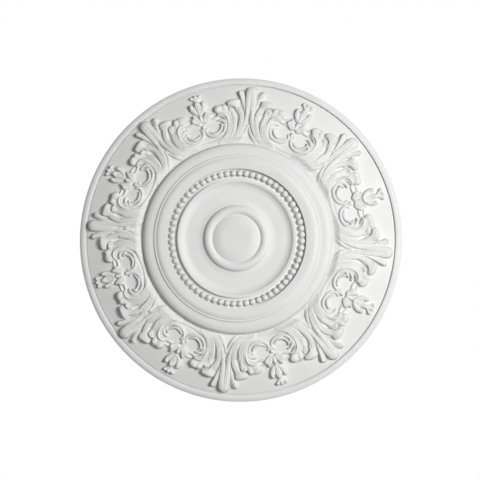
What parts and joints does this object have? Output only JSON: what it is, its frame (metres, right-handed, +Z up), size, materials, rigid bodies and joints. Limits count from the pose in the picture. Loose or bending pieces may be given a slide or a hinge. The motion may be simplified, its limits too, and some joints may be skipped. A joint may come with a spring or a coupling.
{
  "type": "ceiling rose",
  "caption": "Round moulded ceiling rose with a plain boss, stepped mouldings, a row of beads and a wide field of acanthus palmettes and bellflower drops.",
  "frame": {"origin": "centre of the flat back, on the ceiling line", "axes": "+Z up, out of the back and into the ceiling; the face hangs down along -Z; +Y is the top of the face when it is seen from below with +X on the left"},
  "size_m": [0.7, 0.7, 0.058],
  "materials": {
    "white_casting": "matte white primed hard foam, softly cast detail"
  },
  "bodies": {
    "root": {"ceiling_rose": "white_casting"}
  },
  "joints": []
}
